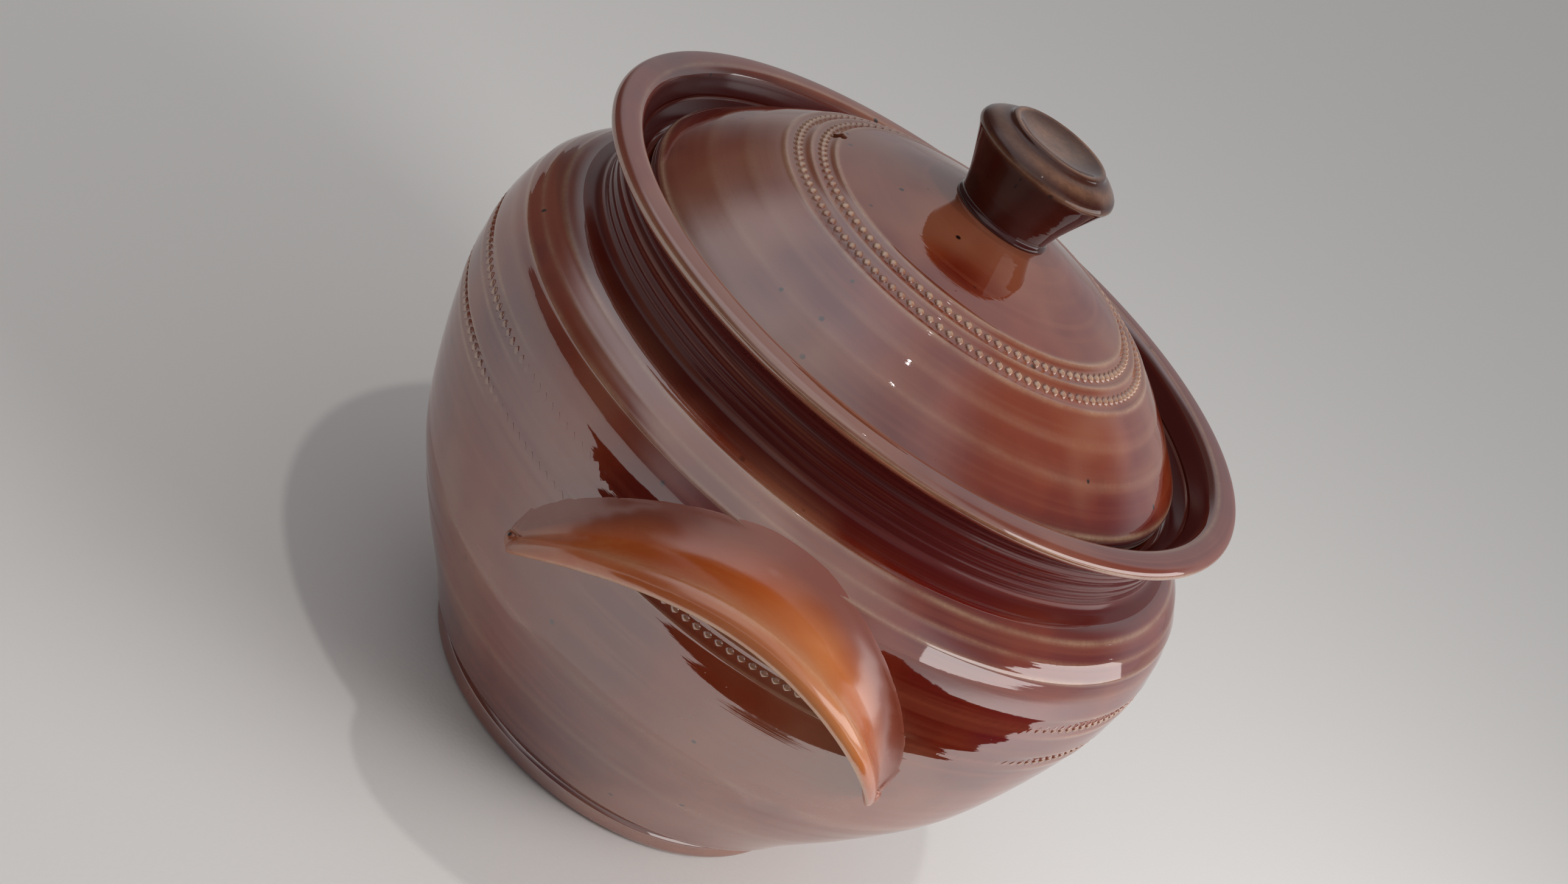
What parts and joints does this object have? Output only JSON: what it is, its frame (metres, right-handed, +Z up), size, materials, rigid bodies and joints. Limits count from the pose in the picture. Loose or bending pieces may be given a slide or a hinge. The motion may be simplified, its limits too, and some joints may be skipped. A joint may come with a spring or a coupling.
{
  "type": "lidded stoneware casserole pot",
  "caption": "Round glazed stoneware cooking pot on a turned foot, with ledge lugs, a flared gallery rim and a domed lift-off lid with a knob.",
  "frame": {"origin": "centre of the foot's underside, on the surface the pot stands on", "axes": "+Z up along the pot's turning axis; the lugs are on -Y and +Y"},
  "size_m": [0.2502, 0.3014, 0.2437],
  "materials": {
    "pot_glaze": "gloss red-brown glaze, thin and tan on edges",
    "lug_glaze": "gloss amber-brown glaze, thin on the lip",
    "lid_glaze": "gloss red-brown glaze with turning streaks",
    "knob_glaze": "thick dark gloss glaze, tan on the top disc"
  },
  "bodies": {
    "pot": {"pot_foot": "pot_glaze", "pot_flank": "pot_glaze", "pot_belly": "pot_glaze", "pot_neck": "pot_glaze", "lug_front": "lug_glaze", "lug_back": "lug_glaze"},
    "lid": {"lid": "lid_glaze", "lid_knob": "knob_glaze"}
  },
  "joints": [
    {"name": "lid_lift", "type": "slide", "parent": "pot", "child": "lid", "axis": [0, 0, 1], "range_m": [0, 0.15]}
  ]
}
